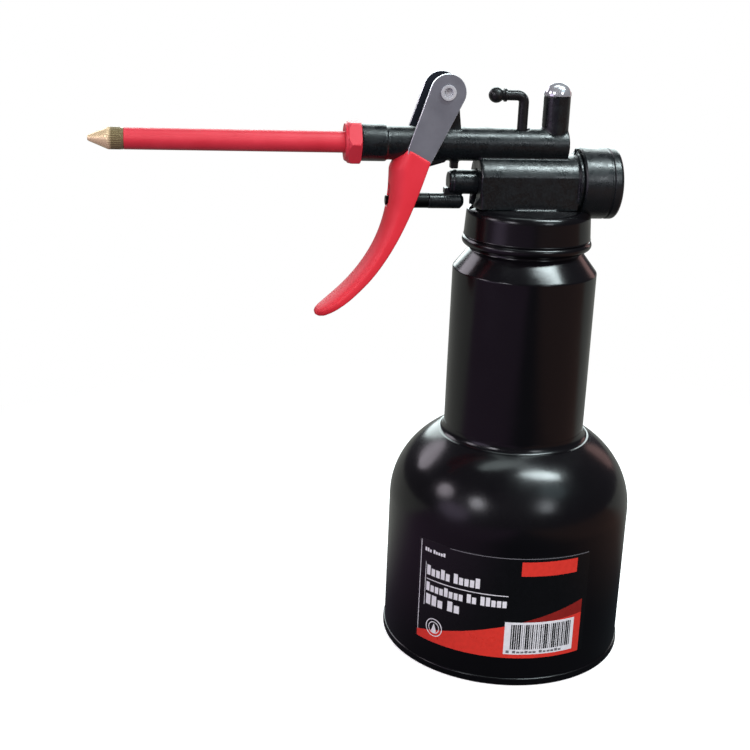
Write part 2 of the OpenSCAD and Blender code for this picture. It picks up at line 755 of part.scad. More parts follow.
can_body();
can_neck();
base_plate();
label();
head_gasket();
screw_cap();
pump_body();
barrel_end_cap();
end_cap_seal();
gland_seal();
inlet_valve_body();
inlet_valve_pin();
suction_tube();
suction_strainer();
outlet_valve_cap();
outlet_valve_spring();
spout_nut();
spout_ferrule();
spout_tube();
nozzle_tip();
cock_clip();
crosshead();
push_rod();
plunger_rod();
piston();
piston_seal();
piston_screw();
return_spring();
lever_plate();
lever_nose();
lever_grip();
pivot_rivet();
drive_pin();
cock_handle();
cock_knob();
cock_seal();
inlet_ball();
outlet_ball();
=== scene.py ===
"""Looks of the pump oil can. The CAD frame gives every place and size; this script adds
smooth shells, castings with blended edges, printed marks, the dipped grip and the materials.
Lengths are in millimetres until a mesh is made, and angles round the bottle are in degrees
from -Y towards +X."""

import json
import math

import bmesh
import bpy
from mathutils import Matrix, Vector


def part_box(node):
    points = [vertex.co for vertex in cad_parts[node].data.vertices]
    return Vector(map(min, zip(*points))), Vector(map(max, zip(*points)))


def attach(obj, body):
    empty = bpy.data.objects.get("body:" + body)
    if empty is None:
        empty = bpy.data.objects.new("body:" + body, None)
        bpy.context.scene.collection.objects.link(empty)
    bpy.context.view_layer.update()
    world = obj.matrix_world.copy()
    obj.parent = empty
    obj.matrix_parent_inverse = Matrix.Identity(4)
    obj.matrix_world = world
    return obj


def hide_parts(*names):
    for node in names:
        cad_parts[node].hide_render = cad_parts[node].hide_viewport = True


MM = 0.001

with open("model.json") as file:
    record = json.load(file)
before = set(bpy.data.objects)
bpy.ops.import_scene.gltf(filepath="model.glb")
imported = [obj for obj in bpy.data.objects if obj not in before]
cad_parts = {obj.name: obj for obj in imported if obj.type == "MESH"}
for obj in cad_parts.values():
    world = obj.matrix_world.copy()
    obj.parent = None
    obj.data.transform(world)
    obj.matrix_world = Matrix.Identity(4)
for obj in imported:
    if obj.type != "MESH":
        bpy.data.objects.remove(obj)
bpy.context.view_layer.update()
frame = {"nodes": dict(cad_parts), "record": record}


def low(node):
    """Lowest corner of a CAD node, in millimetres."""
    return Vector(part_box(node)[0]) / MM


def high(node):
    """Highest corner of a CAD node, in millimetres."""
    return Vector(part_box(node)[1]) / MM


# ---------------------------------------------------------------- sizes shared with the CAD

# Bottle
BODY_R = high("can_body").x
NECK_R = high("can_neck").x
SHOULDER_Z = 54.0
SHOULDER_RISE = 31.5
DOME_R = 9.0
FOOT_R = NECK_R + 2.2
FOOT_Z = high("can_body").z
NECK_TOP_Z = 141.5
CONE_TOP_Z = 148.8
MOUTH_R = 19.3
MOUTH_Z = high("can_neck").z
WALL = 0.8

# Label
LABEL_LEFT, LABEL_RIGHT = -57.5, 27.5
LABEL_LOW, LABEL_HIGH = low("label").z, high("label").z
LABEL_R = BODY_R + 0.12
INK_DEPTH = 0.02

# Head
BARREL_Z = (low("barrel_end_cap").z + high("barrel_end_cap").z) / 2
BAR_Z = (low("spout_tube").z + high("spout_tube").z) / 2
PUSH_ROD_Z = 165.3

# Lever: the front line and the rear edges as cubic curves of X and Z, and the skin's top edge
NOSE_LINE = ((-49.9, 176.5), (-49.6, 160), (-52.2, 143.5), (-75.3, 126.5))
EDGE_LINE = ((-36.8, 179.3), (-41.5, 165), (-49, 136.5), (-73.2, 124.4))
SKIN_TOP = ((-50, 179.2), (-46.7, 180.9), (-44.6, 183.6), (-36.6, 179.2), (-20, 170))
GRIP_HALF = 7.5
GRIP_WALL = 2.1
TIP_START = 0.965


# ---------------------------------------------------------------- camera and light

def set_camera():
    """The camera's place, its three turning angles and its lens."""
    place = Vector((-0.1186, -0.4293, 0.2435))
    heading, dip, roll = math.radians(8.82), math.radians(18.01), math.radians(2.15)
    ahead = Vector((math.sin(heading) * math.cos(dip), math.cos(heading) * math.cos(dip), -math.sin(dip)))
    level = Vector((math.cos(heading), -math.sin(heading), 0))
    upright = level.cross(ahead)
    right = level * math.cos(roll) + upright * math.sin(roll)
    up = upright * math.cos(roll) - level * math.sin(roll)
    turn = Matrix((right, up, -ahead)).transposed().to_4x4()
    data = bpy.data.cameras.new("camera")
    data.sensor_width = 36
    data.lens = 61.36
    data.clip_start = 0.01
    camera = bpy.data.objects.new("camera", data)
    camera.matrix_world = Matrix.Translation(place) @ turn
    bpy.context.scene.collection.objects.link(camera)
    bpy.context.scene.camera = camera


def add_lamp(name, towards, distance, width, height, radiance, colour=(1, 1, 1), mirrored=True):
    """An oval soft light that faces the bottle; its width runs level. A lamp that isn't mirrored
    lights the paint without showing up as a highlight."""
    target = Vector((-0.01, 0, 0.12))
    away = Vector(towards).normalized()
    side = Vector((1, 0, 0)) - away * away.x
    if abs(away.x) > 0.7:
        side = Vector((0, 0, 1)).cross(away)
    side.normalize()
    turn = Matrix((side, away.cross(side), away)).transposed().to_4x4()
    data = bpy.data.lights.new(name, "AREA")
    data.shape = "ELLIPSE"
    data.size, data.size_y = width, height
    data.energy = radiance * math.pi * width * height * math.pi / 4
    data.color = colour
    lamp = bpy.data.objects.new(name, data)
    lamp.matrix_world = Matrix.Translation(target + away * distance) @ turn
    lamp.visible_camera = False
    lamp.visible_glossy = mirrored
    bpy.context.scene.collection.objects.link(lamp)


def set_world():
    """White to the camera, and a dim room to everything that the surfaces reflect."""
    world = bpy.data.worlds.new("studio")
    world.use_nodes = True
    nodes, links = world.node_tree.nodes, world.node_tree.links
    nodes.clear()
    room = nodes.new("ShaderNodeBackground")
    white = nodes.new("ShaderNodeBackground")
    room.inputs["Color"].default_value = (0.9, 0.84, 1.0, 1)
    room.inputs["Strength"].default_value = 0.075
    white.inputs["Color"].default_value = (1, 1, 1, 1)
    path = nodes.new("ShaderNodeLightPath")
    mix = nodes.new("ShaderNodeMixShader")
    out = nodes.new("ShaderNodeOutputWorld")
    links.new(path.outputs["Is Camera Ray"], mix.inputs[0])
    links.new(room.outputs[0], mix.inputs[1])
    links.new(white.outputs[0], mix.inputs[2])
    links.new(mix.outputs[0], out.inputs["Surface"])
    bpy.context.scene.world = world
    bpy.context.scene.view_settings.view_transform = "Standard"


def floor_material():
    """Pale to the camera and fading to white away from the bottle. In reflections it is dark, with glowing
    purple, brown and grey patches that stand in for the room and show as reflections on the bottle.
    """
    material = bpy.data.materials.new("floor_white")
    material.use_nodes = True
    nodes, links = material.node_tree.nodes, material.node_tree.links
    nodes.clear()
    pale = nodes.new("ShaderNodeBsdfDiffuse")
    pale.inputs["Color"].default_value = (0.9, 0.9, 0.9, 1)
    lift = nodes.new("ShaderNodeEmission")
    lift.inputs["Strength"].default_value = 0.5
    white = nodes.new("ShaderNodeEmission")
    dark = nodes.new("ShaderNodeEmission")
    path = nodes.new("ShaderNodeLightPath")
    place = nodes.new("ShaderNodeTexCoord")
    length = nodes.new("ShaderNodeVectorMath")
    length.operation = "LENGTH"
    fade = nodes.new("ShaderNodeMapRange")
    fade.interpolation_type = "SMOOTHSTEP"
    fade.inputs["From Min"].default_value = 0.1
    fade.inputs["From Max"].default_value = 0.34
    lit = nodes.new("ShaderNodeAddShader")
    sides = nodes.new("ShaderNodeSeparateXYZ")
    links.new(place.outputs["Object"], sides.inputs[0])
    tone = None
    # Glowing patches seen only in reflections: purple to the left, brown to the right and grey behind,
    # standing in for the room's reflections on the bottle.
    for axis, start, end, colour in (("X", -0.02, -0.14, (0.17, 0.11, 0.18)),
                                     ("X", 0.06, 0.2, (0.2, 0.12, 0.1)),
                                     ("Y", 0.015, 0.1, (0.3, 0.31, 0.29))):
        ramp = nodes.new("ShaderNodeMapRange")
        ramp.interpolation_type = "SMOOTHSTEP"
        ramp.inputs["From Min"].default_value = start
        ramp.inputs["From Max"].default_value = end
        links.new(sides.outputs[axis], ramp.inputs["Value"])
        mix = nodes.new("ShaderNodeMix")
        mix.data_type = "RGBA"
        mix.inputs["A"].default_value = (0.03, 0.035, 0.04, 1)
        mix.inputs["B"].default_value = (*colour, 1)
        links.new(ramp.outputs["Result"], mix.inputs["Factor"])
        if tone is not None:
            links.new(tone, mix.inputs["A"])
        tone = mix.outputs["Result"]
    links.new(tone, dark.inputs["Color"])
    near_far = nodes.new("ShaderNodeMixShader")
    seen = nodes.new("ShaderNodeMixShader")
    out = nodes.new("ShaderNodeOutputMaterial")
    links.new(place.outputs["Object"], length.inputs[0])
    links.new(length.outputs["Value"], fade.inputs["Value"])
    links.new(pale.outputs[0], lit.inputs[0])
    links.new(lift.outputs[0], lit.inputs[1])
    links.new(fade.outputs["Result"], near_far.inputs[0])
    links.new(lit.outputs[0], near_far.inputs[1])
    links.new(white.outputs[0], near_far.inputs[2])
    links.new(path.outputs["Is Camera Ray"], seen.inputs[0])
    links.new(dark.outputs[0], seen.inputs[1])
    links.new(near_far.outputs[0], seen.inputs[2])
    links.new(seen.outputs[0], out.inputs["Surface"])
    return material


def set_studio():
    set_world()
    add_lamp("key", (0.36, -0.3, 0.88), 0.85, 0.5, 0.15, 27, (0.84, 0.98, 1.0))
    add_lamp("key_low", (0.39, -0.81, 0.43), 0.9, 0.22, 0.24, 5.5, (0.88, 0.95, 1.0))
    add_lamp("key_haze", (0.5, -0.56, 0.66), 0.9, 0.4, 0.34, 1.0, (0.7, 0.95, 1.0))
    add_lamp("left_front", (-0.64, -0.64, 0.42), 0.9, 0.2, 0.26, 8, (0.93, 0.93, 1.0))
    add_lamp("left_side", (-0.91, -0.1, 0.4), 0.9, 0.26, 0.26, 5, (0.98, 0.9, 1.0))
    add_lamp("left_haze", (-0.85, -0.4, 0.1), 0.9, 0.5, 0.3, 1.1, (0.85, 0.7, 1.0))
    add_lamp("left_back", (-0.6, 0.66, 0.45), 0.9, 0.5, 0.34, 3.2, (0.97, 0.9, 1.0))
    add_lamp("far_wall", (0.16, 0.9, 0.4), 1.2, 1.3, 1.2, 4.6, (0.88, 1.0, 1.0))
    add_lamp("warm_back", (0.78, 0.6, 0.2), 0.9, 0.2, 0.4, 0.9, (1.0, 0.6, 0.55))
    add_lamp("overhead", (-0.1, -0.05, 1), 0.9, 0.6, 0.2, 2.5, (0.85, 1.0, 1.0))
    add_lamp("fill", (-0.12, -0.88, 0.46), 1.2, 0.9, 0.9, 5.6, (1.0, 0.98, 0.98), mirrored=False)
    mesh = bpy.data.meshes.new("floor")
    half = 6.0
    corners = [(-half, -half, 0), (half, -half, 0), (half, half, 0), (-half, half, 0)]
    mesh.from_pydata(corners, [], [(0, 1, 2, 3)])
    floor = bpy.data.objects.new("floor", mesh)
    floor.location.z = -0.0002
    bpy.context.scene.collection.objects.link(floor)
    mesh.materials.append(floor_material())


# ---------------------------------------------------------------- material helpers

class Shader:
    """A material's node tree, with short calls for what the materials here repeat."""

    def __init__(self, name, colour, roughness, metallic=0.0, **sockets):
        self.material = bpy.data.materials.new(name)
        self.material.use_nodes = True
        tree = self.material.node_tree
        self.nodes, self.links = tree.nodes, tree.links
        self.bsdf = self.nodes["Principled BSDF"]
        self.bsdf.inputs["Base Color"].default_value = (*colour, 1)
        self.bsdf.inputs["Roughness"].default_value = roughness
        self.bsdf.inputs["Metallic"].default_value = metallic
        for key, value in sockets.items():
            self.bsdf.inputs[key.replace("_", " ")].default_value = value
        self.place = self.nodes.new("ShaderNodeTexCoord").outputs["Object"]

    def noise(self, scale, detail=3.0, stretch=None, distortion=0.0):
        """Noise in the object's own space; scale is in features per metre."""
        node = self.nodes.new("ShaderNodeTexNoise")
        node.inputs["Scale"].default_value = scale
        node.inputs["Detail"].default_value = detail
        node.inputs["Distortion"].default_value = distortion
        source = self.place
        if stretch:
            mapping = self.nodes.new("ShaderNodeMapping")
            mapping.inputs["Scale"].default_value = stretch
            self.links.new(source, mapping.inputs["Vector"])
            source = mapping.outputs["Vector"]
        self.links.new(source, node.inputs["Vector"])
        return node.outputs["Fac"]

    def span(self, source, first, last, start=0.0, end=1.0):
        """Maps source from start..end onto first..last."""
        node = self.nodes.new("ShaderNodeMapRange")
        node.inputs["From Min"].default_value = start
        node.inputs["From Max"].default_value = end
        node.inputs["To Min"].default_value = first
        node.inputs["To Max"].default_value = last
        self.links.new(source, node.inputs["Value"])
        return node.outputs["Result"]

    def blend(self, factor, first, second):
        node = self.nodes.new("ShaderNodeMix")
        node.data_type = "RGBA"
        self.links.new(factor, node.inputs["Factor"])
        for socket, value in (("A", first), ("B", second)):
            if isinstance(value, tuple):
                node.inputs[socket].default_value = (*value, 1)
            else:
                self.links.new(value, node.inputs[socket])
        return node.outputs["Result"]

    def axis(self, letter):
        """One coordinate in metres, in the object's own space, which is the CAD's."""
        node = self.nodes.new("ShaderNodeSeparateXYZ")
        self.links.new(self.place, node.inputs[0])
        return node.outputs[letter]

    def to(self, socket, source):
        self.links.new(source, self.bsdf.inputs[socket])

    def bump(self, source, distance, strength=1.0, before=None):
        node = self.nodes.new("ShaderNodeBump")
        node.inputs["Distance"].default_value = distance
        node.inputs["Strength"].default_value = strength
        self.links.new(source, node.inputs["Height"])
        if before is not None:
            self.links.new(before, node.inputs["Normal"])
        return node.outputs["Normal"]


# ---------------------------------------------------------------- materials

def gloss_black_paint():
    s = Shader("can_paint", (0.0022, 0.002, 0.0026), 0.2)
    s.to("Roughness", s.span(s.noise(60, 4), 0.16, 0.25, 0.35, 0.65))
    s.to("Base Color", s.blend(s.noise(25, 3), (0.0018, 0.0017, 0.0022), (0.003, 0.0026, 0.0036)))
    orange_peel = s.bump(s.noise(420, 2), 0.00005, 0.3)
    s.to("Normal", s.bump(s.noise(55, 2), 0.0004, 0.3, orange_peel))
    return s.material


def cast_black():
    s = Shader("cast_black", (0.004, 0.005, 0.006), 0.36, Specular_IOR_Level=0.7)
    grain = s.noise(1500, 3)
    broad = s.noise(260, 4)
    specks = s.span(grain, 0, 1, 0.4, 0.7)
    s.to("Base Color", s.blend(specks, (0.0022, 0.0032, 0.0038), (0.0062, 0.009, 0.0102)))
    s.to("Roughness", s.span(broad, 0.22, 0.38, 0.35, 0.65))
    fine = s.bump(grain, 0.00012, 0.5)
    s.to("Normal", s.bump(broad, 0.0002, 0.4, fine))
    return s.material


def satin_black():
    s = Shader("end_cap_black", (0.005, 0.0065, 0.0075), 0.3, Specular_IOR_Level=0.6)
    s.to("Roughness", s.span(s.noise(400, 3), 0.22, 0.38, 0.35, 0.65))
    s.to("Base Color", s.blend(s.noise(80, 3), (0.004, 0.005, 0.006), (0.009, 0.011, 0.0125)))
    s.to("Normal", s.bump(s.noise(1200, 3), 0.00006, 0.5))
    return s.material


def handle_black():
    s = Shader("handle_black", (0.006, 0.006, 0.0065), 0.3)
    s.to("Roughness", s.span(s.noise(500, 3), 0.22, 0.4, 0.35, 0.65))
    s.to("Base Color", s.blend(s.noise(200, 3), (0.004, 0.004, 0.0044), (0.01, 0.01, 0.0105)))
    s.to("Normal", s.bump(s.noise(900, 3), 0.0001, 0.5))
    return s.material


def rubber():
    s = Shader("seal_rubber", (0.009, 0.009, 0.009), 0.7)
    s.to("Roughness", s.span(s.noise(300), 0.6, 0.82))
    s.to("Base Color", s.blend(s.noise(500, 3), (0.007, 0.007, 0.007), (0.012, 0.012, 0.012)))
    s.to("Normal", s.bump(s.noise(2200, 3), 0.00003, 0.5))
    return s.material


def steel(name, colour, dark, rough, stretch, metal=1.0):
    """Metal with a drawn or brushed grain; stretch squeezes the grain's noise along its length."""
    s = Shader(name, colour, rough, metal)
    grain = s.noise(900, 4, stretch)
    smudge = s.noise(120, 4)
    s.to("Base Color", s.blend(s.span(smudge, 0, 1, 0.35, 0.7), colour, dark))
    s.to("Roughness", s.span(grain, rough - 0.06, rough + 0.08, 0.3, 0.7))
    s.to("Normal", s.bump(grain, 0.00002, 0.5))
    return s.material


def chrome():
    s = Shader("chrome_dome", (0.8, 0.8, 0.84), 0.15, 0.8)
    s.to("Roughness", s.span(s.noise(250, 4), 0.1, 0.26, 0.35, 0.7))
    s.to("Normal", s.bump(s.noise(300, 2), 0.0001, 0.3))
    return s.material


def grip_red():
    s = Shader("grip_red", (0.64, 0.016, 0.026), 0.3)
    patches = s.span(s.noise(70, 3), 0, 1, 0.3, 0.7)
    s.to("Base Color", s.blend(patches, (0.59, 0.016, 0.026), (0.66, 0.026, 0.042)))
    s.to("Roughness", s.span(s.noise(180, 3), 0.44, 0.54))
    s.to("Normal", s.bump(s.noise(90, 1), 0.0002, 0.15))
    return s.material


def spout_red():
    s = Shader("spout_red", (0.66, 0.036, 0.065), 0.34)
    patches = s.span(s.noise(90, 3), 0, 1, 0.3, 0.7)
    s.to("Base Color", s.blend(patches, (0.53, 0.024, 0.04), (0.59, 0.034, 0.054)))
    s.to("Roughness", s.span(s.noise(220, 3), 0.36, 0.48))
    s.to("Normal", s.bump(s.noise(420, 2), 0.00012, 0.35))
    return s.material


def brass():
    """Brass whose turned cone is painted a near-white brass as a painted highlight, while the ridged collar
    behind it keeps a darker, dull tone.
    """
    s = Shader("brass", (0.55, 0.42, 0.22), 0.3, 0.5)
    rings = s.noise(1400, 3, (1.0, 0.05, 0.05))
    collar = (high("nozzle_tip").x - 4.6) * MM
    dull = s.span(s.axis("X"), 0, 1, collar - 0.0004, collar + 0.0006)
    tone = s.blend(s.noise(160, 3), (0.26, 0.2, 0.1), (0.2, 0.155, 0.08))
    # The cone's near-white colour is a painted highlight; the collar side takes the darker brass tone.
    s.to("Base Color", s.blend(dull, (0.9, 0.68, 0.42), tone))
    s.to("Roughness", s.span(rings, 0.24, 0.32, 0.3, 0.7))
    s.to("Normal", s.bump(rings, 0.00001, 0.3))
    return s.material


def tube_plastic():
    s = Shader("tube_plastic", (0.78, 0.78, 0.7), 0.4, Transmission_Weight=0.25)
    s.to("Roughness", s.span(s.noise(90), 0.32, 0.5))
    s.to("Base Color", s.blend(s.noise(60, 3), (0.8, 0.8, 0.73), (0.74, 0.73, 0.64)))
    s.to("Normal", s.bump(s.noise(500), 0.00003, 0.3))
    return s.material


def ink(name, colour, worn):
    """Printing ink or the film under it, glossy and a little uneven."""
    s = Shader(name, colour, 0.28, Coat_Weight=0.3, Coat_Roughness=0.15)
    s.to("Base Color", s.blend(s.span(s.noise(700, 3), 0, 1, 0.4, 0.75), colour, worn))
    s.to("Roughness", s.span(s.noise(300, 3), 0.22, 0.36))
    return s.material


MATERIALS = {
    "can_paint": gloss_black_paint(),
    "cast_black": cast_black(),
    "end_cap_black": satin_black(),
    "handle_black": handle_black(),
    "seal_rubber": rubber(),
    "bare_steel": steel("bare_steel", (0.2, 0.2, 0.228), (0.15, 0.15, 0.175), 0.42, (0.25, 1, 0.08), 0.4),
    "bright_steel": steel("bright_steel", (0.7, 0.7, 0.74), (0.55, 0.56, 0.6), 0.28, (1, 1, 1), 0.5),
    "dark_steel": steel("dark_steel", (0.03, 0.031, 0.03), (0.02, 0.021, 0.02), 0.4, (0.1, 1, 1)),
    "chrome_dome": chrome(),
    "grip_red": grip_red(),
    "spout_red": spout_red(),
    "brass": brass(),
    "tube_plastic": tube_plastic(),
    "label_film": ink("label_film", (0.0024, 0.0024, 0.003), (0.0032, 0.0032, 0.004)),
}
# Near-black steel for the plates' inner faces: painted shade between the two ears.
SHADED_INNER_STEEL = steel("inner_steel_painted_shade", (0.016, 0.02, 0.03), (0.01, 0.012, 0.018), 0.4, (0.25, 1, 0.08), 0.3)
# Near-white steel for the plates' cut edges: the bare sheared metal, painted near white as a highlight for
# the glint along it.
CUT_EDGE_GLINT_STEEL = steel("cut_edge_glint_steel", (0.9, 0.9, 0.94), (0.75, 0.75, 0.8), 0.25, (1, 1, 1), 0.5)
INKS = {
    "white": ink("ink_white", (0.8, 0.79, 0.83), (0.7, 0.69, 0.73)),
    "grey": ink("ink_grey", (0.17, 0.165, 0.18), (0.12, 0.115, 0.13)),
    "red": ink("ink_red", (0.72, 0.04, 0.028), (0.64, 0.034, 0.024)),
    "dark_red": ink("ink_dark_red", (0.26, 0.016, 0.013), (0.22, 0.013, 0.011)),
    "black": ink("ink_black", (0.006, 0.006, 0.007), (0.012, 0.012, 0.013)),
}


def dress_cad():
    """Gives every CAD node the material of its slot in the record."""
    for part in frame["record"]["subparts"]:
        mesh = frame["nodes"][part["node"]].data
        mesh.materials.clear()
        mesh.materials.append(MATERIALS[part["material_slot"]])


# ---------------------------------------------------------------- mesh helpers

SLOT_OF = {part["node"]: part["material_slot"] for part in frame["record"]["subparts"]}
BODY_OF = {node: body for body, nodes in frame["record"]["behaviour"]["bodies"].items() for node in nodes}


def link(name, mesh):
    piece = bpy.data.objects.new(name, mesh)
    bpy.context.scene.collection.objects.link(piece)
    return piece


def add_piece(name, mesh, node, *materials, stands_in=True, smooth_angle=40):
    """A finished piece that goes with a CAD node: its body, its slot and, if it stands in, its place."""
    piece = link(name, mesh)
    mesh.materials.clear()
    for material in materials or (MATERIALS[SLOT_OF[node]],):
        mesh.materials.append(material)
    if smooth_angle is not None:
        mesh.shade_smooth()
        mesh.set_sharp_from_angle(angle=math.radians(smooth_angle))
    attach(piece, BODY_OF[node])
    if stands_in:
        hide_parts(node)
    return piece


def mesh_from(vertices, faces, name="mesh"):
    """A mesh in metres from millimetre points, with its outside facing out."""
    mesh = bpy.data.meshes.new(name)
    mesh.from_pydata([Vector(v) * MM for v in vertices], [], faces)
    bm = bmesh.new()
    bm.from_mesh(mesh)
    bmesh.ops.remove_doubles(bm, verts=bm.verts, dist=1e-7)
    bmesh.ops.recalc_face_normals(bm, faces=bm.faces)
    bm.to_mesh(mesh)
    bm.free()
    return mesh


def lathe(outline, sides=192):
    """A solid of revolution about Z from a closed outline of (radius, z) points."""
    n = len(outline)
    vertices = [(r * math.cos(2 * math.pi * k / sides), r * math.sin(2 * math.pi * k / sides), z)
                for k in range(sides) for r, z in outline]
    faces = [(k * n + i, (k + 1) % sides * n + i, (k + 1) % sides * n + (i + 1) % n, k * n + (i + 1) % n)
             for k in range(sides) for i in range(n)]
    faces = [f for f in faces if not (outline[f[0] % n][0] == 0 and outline[f[2] % n][0] == 0)]
    return mesh_from(vertices, faces)


def arc(centre, radius, first, last, steps=8):
    """Points of an arc in the (radius, z) plane, between two angles in degrees."""
    angles = (math.radians(first + (last - first) * i / steps) for i in range(steps + 1))
    return [(centre[0] + radius * math.cos(a), centre[1] + radius * math.sin(a)) for a in angles]


def finished(mesh, *modifiers):
    """A mesh after the modifiers, each given as (type, {setting: value})."""
    piece = link("work", mesh)
    for kind, settings in modifiers:
        modifier = piece.modifiers.new(kind, kind)
        for key, value in settings.items():
            setattr(modifier, key, value)
    graph = bpy.context.evaluated_depsgraph_get()
    result = bpy.data.meshes.new_from_object(piece.evaluated_get(graph))
    bpy.data.objects.remove(piece)
    return result


def cad_copy(node):
    mesh = frame["nodes"][node].data.copy()
    mesh.transform(frame["nodes"][node].matrix_world)
    return mesh


def cut(mesh, *cutters):
    """mesh less each cutter mesh."""
    for cutter in cutters:
        tool = link("tool", cutter)
        mesh = finished(mesh, ("BOOLEAN", {"operation": "DIFFERENCE", "object": tool, "solver": "EXACT"}))
        bpy.data.objects.remove(tool)
    return mesh


def rod_x(x0, x1, z, radius, sides=96):
    """A cylinder along X."""
    mesh = lathe([(0, x0), (radius, x0), (radius, x1), (0, x1)], sides)
    mesh.transform(Matrix.Translation((0, 0, z * MM)) @ Matrix.Rotation(math.radians(90), 4, "Y"))
    return mesh


WELD = ("WELD", {"merge_threshold": 1e-6})
FLATTEN = ("DECIMATE", {"decimate_type": "DISSOLVE", "angle_limit": math.radians(1)})


def bevelled(node, width, segments=3, angle=30):
    """The CAD node with its sharp edges rounded and its flats kept flat."""
    mesh = cad_copy(node)
    mesh.shade_smooth()
    mesh = finished(mesh, WELD, ("BEVEL", {
        "width": width * MM, "segments": segments, "limit_method": "ANGLE",
        "angle_limit": math.radians(angle)}), ("WEIGHTED_NORMAL", {"weight": 100}))
    return add_piece(node + "_form", mesh, node, smooth_angle=None)


def cast(node, voxel, rounds):
    """The CAD node as a casting: its edges and inside corners run into each other."""
    mesh = finished(cad_copy(node), WELD,
                    ("REMESH", {"mode": "VOXEL", "voxel_size": voxel * MM}),
                    ("SMOOTH", {"factor": 0.5, "iterations": rounds}))
    return add_piece(node + "_casting", mesh, node, smooth_angle=180)


# ---------------------------------------------------------------- bottle

def dome_radius(z, wall):
    """Radius of the shoulder's quarter ellipse at a height, wall millimetres in from the outside."""
    rise = (z - SHOULDER_Z) / (SHOULDER_RISE - wall)
    return DOME_R + (BODY_R - DOME_R - wall) * math.sqrt(max(0.0, 1 - rise * rise))


def dome_height(radius, wall):
    """Height of the same quarter ellipse at a radius."""
    reach = (radius - DOME_R) / (BODY_R - DOME_R - wall)
    return SHOULDER_Z + (SHOULDER_RISE - wall) * math.sqrt(1 - reach * reach)


def make_bottle_body():
    """Can body: straight wall, domed shoulder and the small fillet at the neck's foot."""
    steps = 48
    fillet_z = dome_height(FOOT_R, 0)
    inside_z = dome_height(NECK_R, WALL)
    bottom = low("can_body").z

    def dome(top, wall):
        shares = (math.sin(math.pi / 2 * i / steps) for i in range(steps + 1))
        heights = (SHOULDER_Z + (top - SHOULDER_Z) * share for share in shares)
        return [(dome_radius(z, wall), z) for z in heights]

    fillet = [(NECK_R + 0.1 + (FOOT_R - NECK_R - 0.1) * (1 - math.cos(a)),
               FOOT_Z - (FOOT_Z - fillet_z) * math.sin(a))
              for a in (math.radians(90 - 6 * i) for i in range(1, 16))]
    outline = [(BODY_R - WALL, bottom), (BODY_R, bottom)] + dome(fillet_z, 0) + fillet
    outline += [(NECK_R, FOOT_Z)] + dome(inside_z, WALL)[::-1]
    add_piece("bottle_body", lathe(outline, 256), "can_body")


def make_bottle_neck():
    """Neck tube, drawn-in cone and the threaded mouth, whose thread is rolled into the sheet."""
    z0 = low("can_neck").z
    outer = [(NECK_R, z0)] + arc((NECK_R - 1.2, NECK_TOP_Z - 0.5), 1.2, 0, 42)
    outer += arc((MOUTH_R + 1.6, CONE_TOP_Z + 0.2), 1.2, 228, 180) + [(MOUTH_R, CONE_TOP_Z + 1.2)]
    first_turn, pitch, turns, thread_depth, groove = 151.6, 2.0, 3, 0.35, 1.6
    for z in (first_turn + pitch * i for i in range(turns)):
        outer += [(MOUTH_R - thread_depth * math.sin(math.radians(30 * i)), z - groove / 2 + groove * i / 6)
                  for i in range(7)]
    outer += arc((MOUTH_R - 0.5, MOUTH_Z - 0.5), 0.5, 0, 90)
    inner = arc((MOUTH_R - 1.0, MOUTH_Z - 0.4), 0.4, 90, 180, 4)
    inner += [(MOUTH_R - 1.4, CONE_TOP_Z + 0.6), (MOUTH_R + 0.2, CONE_TOP_Z - 1.4)]
    inner += [(NECK_R - WALL - 0.2, NECK_TOP_Z), (NECK_R - WALL, NECK_TOP_Z - 1), (NECK_R - WALL, z0)]
    add_piece("bottle_neck", lathe(outer + inner, 256), "can_neck")


def make_base():
    """The seamed bottom, whose panel stands higher than its rim."""
    r_out = high("base_plate").x
    top = high("base_plate").z
    lip = BODY_R - WALL - 0.7
    panel, seam_top, skirt = 2.4, 3.0, 0.6
    outline = [(0, panel), (lip - 3, panel)] + arc((lip - 1.4, panel - 1.4), 1.4, 90, 0)[1:]
    outline += arc((lip + 0.5, 0.5), 0.5, 180, 270) + arc((r_out - 1.0, 1.0), 1.0, -90, 0)
    outline += arc((r_out - 0.5, seam_top - 0.5), 0.5, 0, 90) + [(BODY_R, seam_top), (BODY_R, skirt)]
    outline += [(BODY_R - WALL, skirt), (BODY_R - WALL, top), (0, top)]
    add_piece("base_seam", lathe(outline, 256), "base_plate")


def make_screw_cap():
    """The cap with its rolled bead, cut out for the barrel, the end cap's edge and the push rod."""
    bead = high("screw_cap").x
    top = high("screw_cap").z
    bottom = low("screw_cap").z
    wall_low, wall_top, corner, roll = 22.15, 21.7, 3.0, 1.6
    inside, stem, roof = MOUTH_R + 0.5, 12.0, MOUTH_Z + 1.5
    lid_hole, lid_rise = 8.0, 0.07
    outline = [(stem, roof), (inside, roof), (inside, bottom), (wall_low - 0.9, bottom)]
    outline += arc((bead - roll, bottom + roll + 0.3), roll, -60, 60, 12)
    outline += arc((wall_low + 0.7, bottom + 2 * roll + 1.0), 0.7, 215, 180, 4)
    outline += arc((wall_top - corner, top - corner), corner, 0, 90, 14)
    outline += [(stem + 0.7, top), (stem + 0.5, top + lid_rise), (lid_hole, top + lid_rise)]
    outline += [(lid_hole, top - 1), (stem, top - 1)]
    barrel_r, relief_r, groove_r = 9.6, high("barrel_end_cap").z - BARREL_Z + 0.3, 3.05
    end = low("barrel_end_cap").x
    mesh = cut(lathe(outline, 192), rod_x(-19.5, end + 10, BARREL_Z, barrel_r),
               rod_x(end - 1.4, end + 10, BARREL_Z, relief_r), rod_x(-24, -13.8, PUSH_ROD_Z, groove_r))
    add_piece("cap_shell", mesh, "screw_cap", smooth_angle=30)


# ---------------------------------------------------------------- label and printed marks

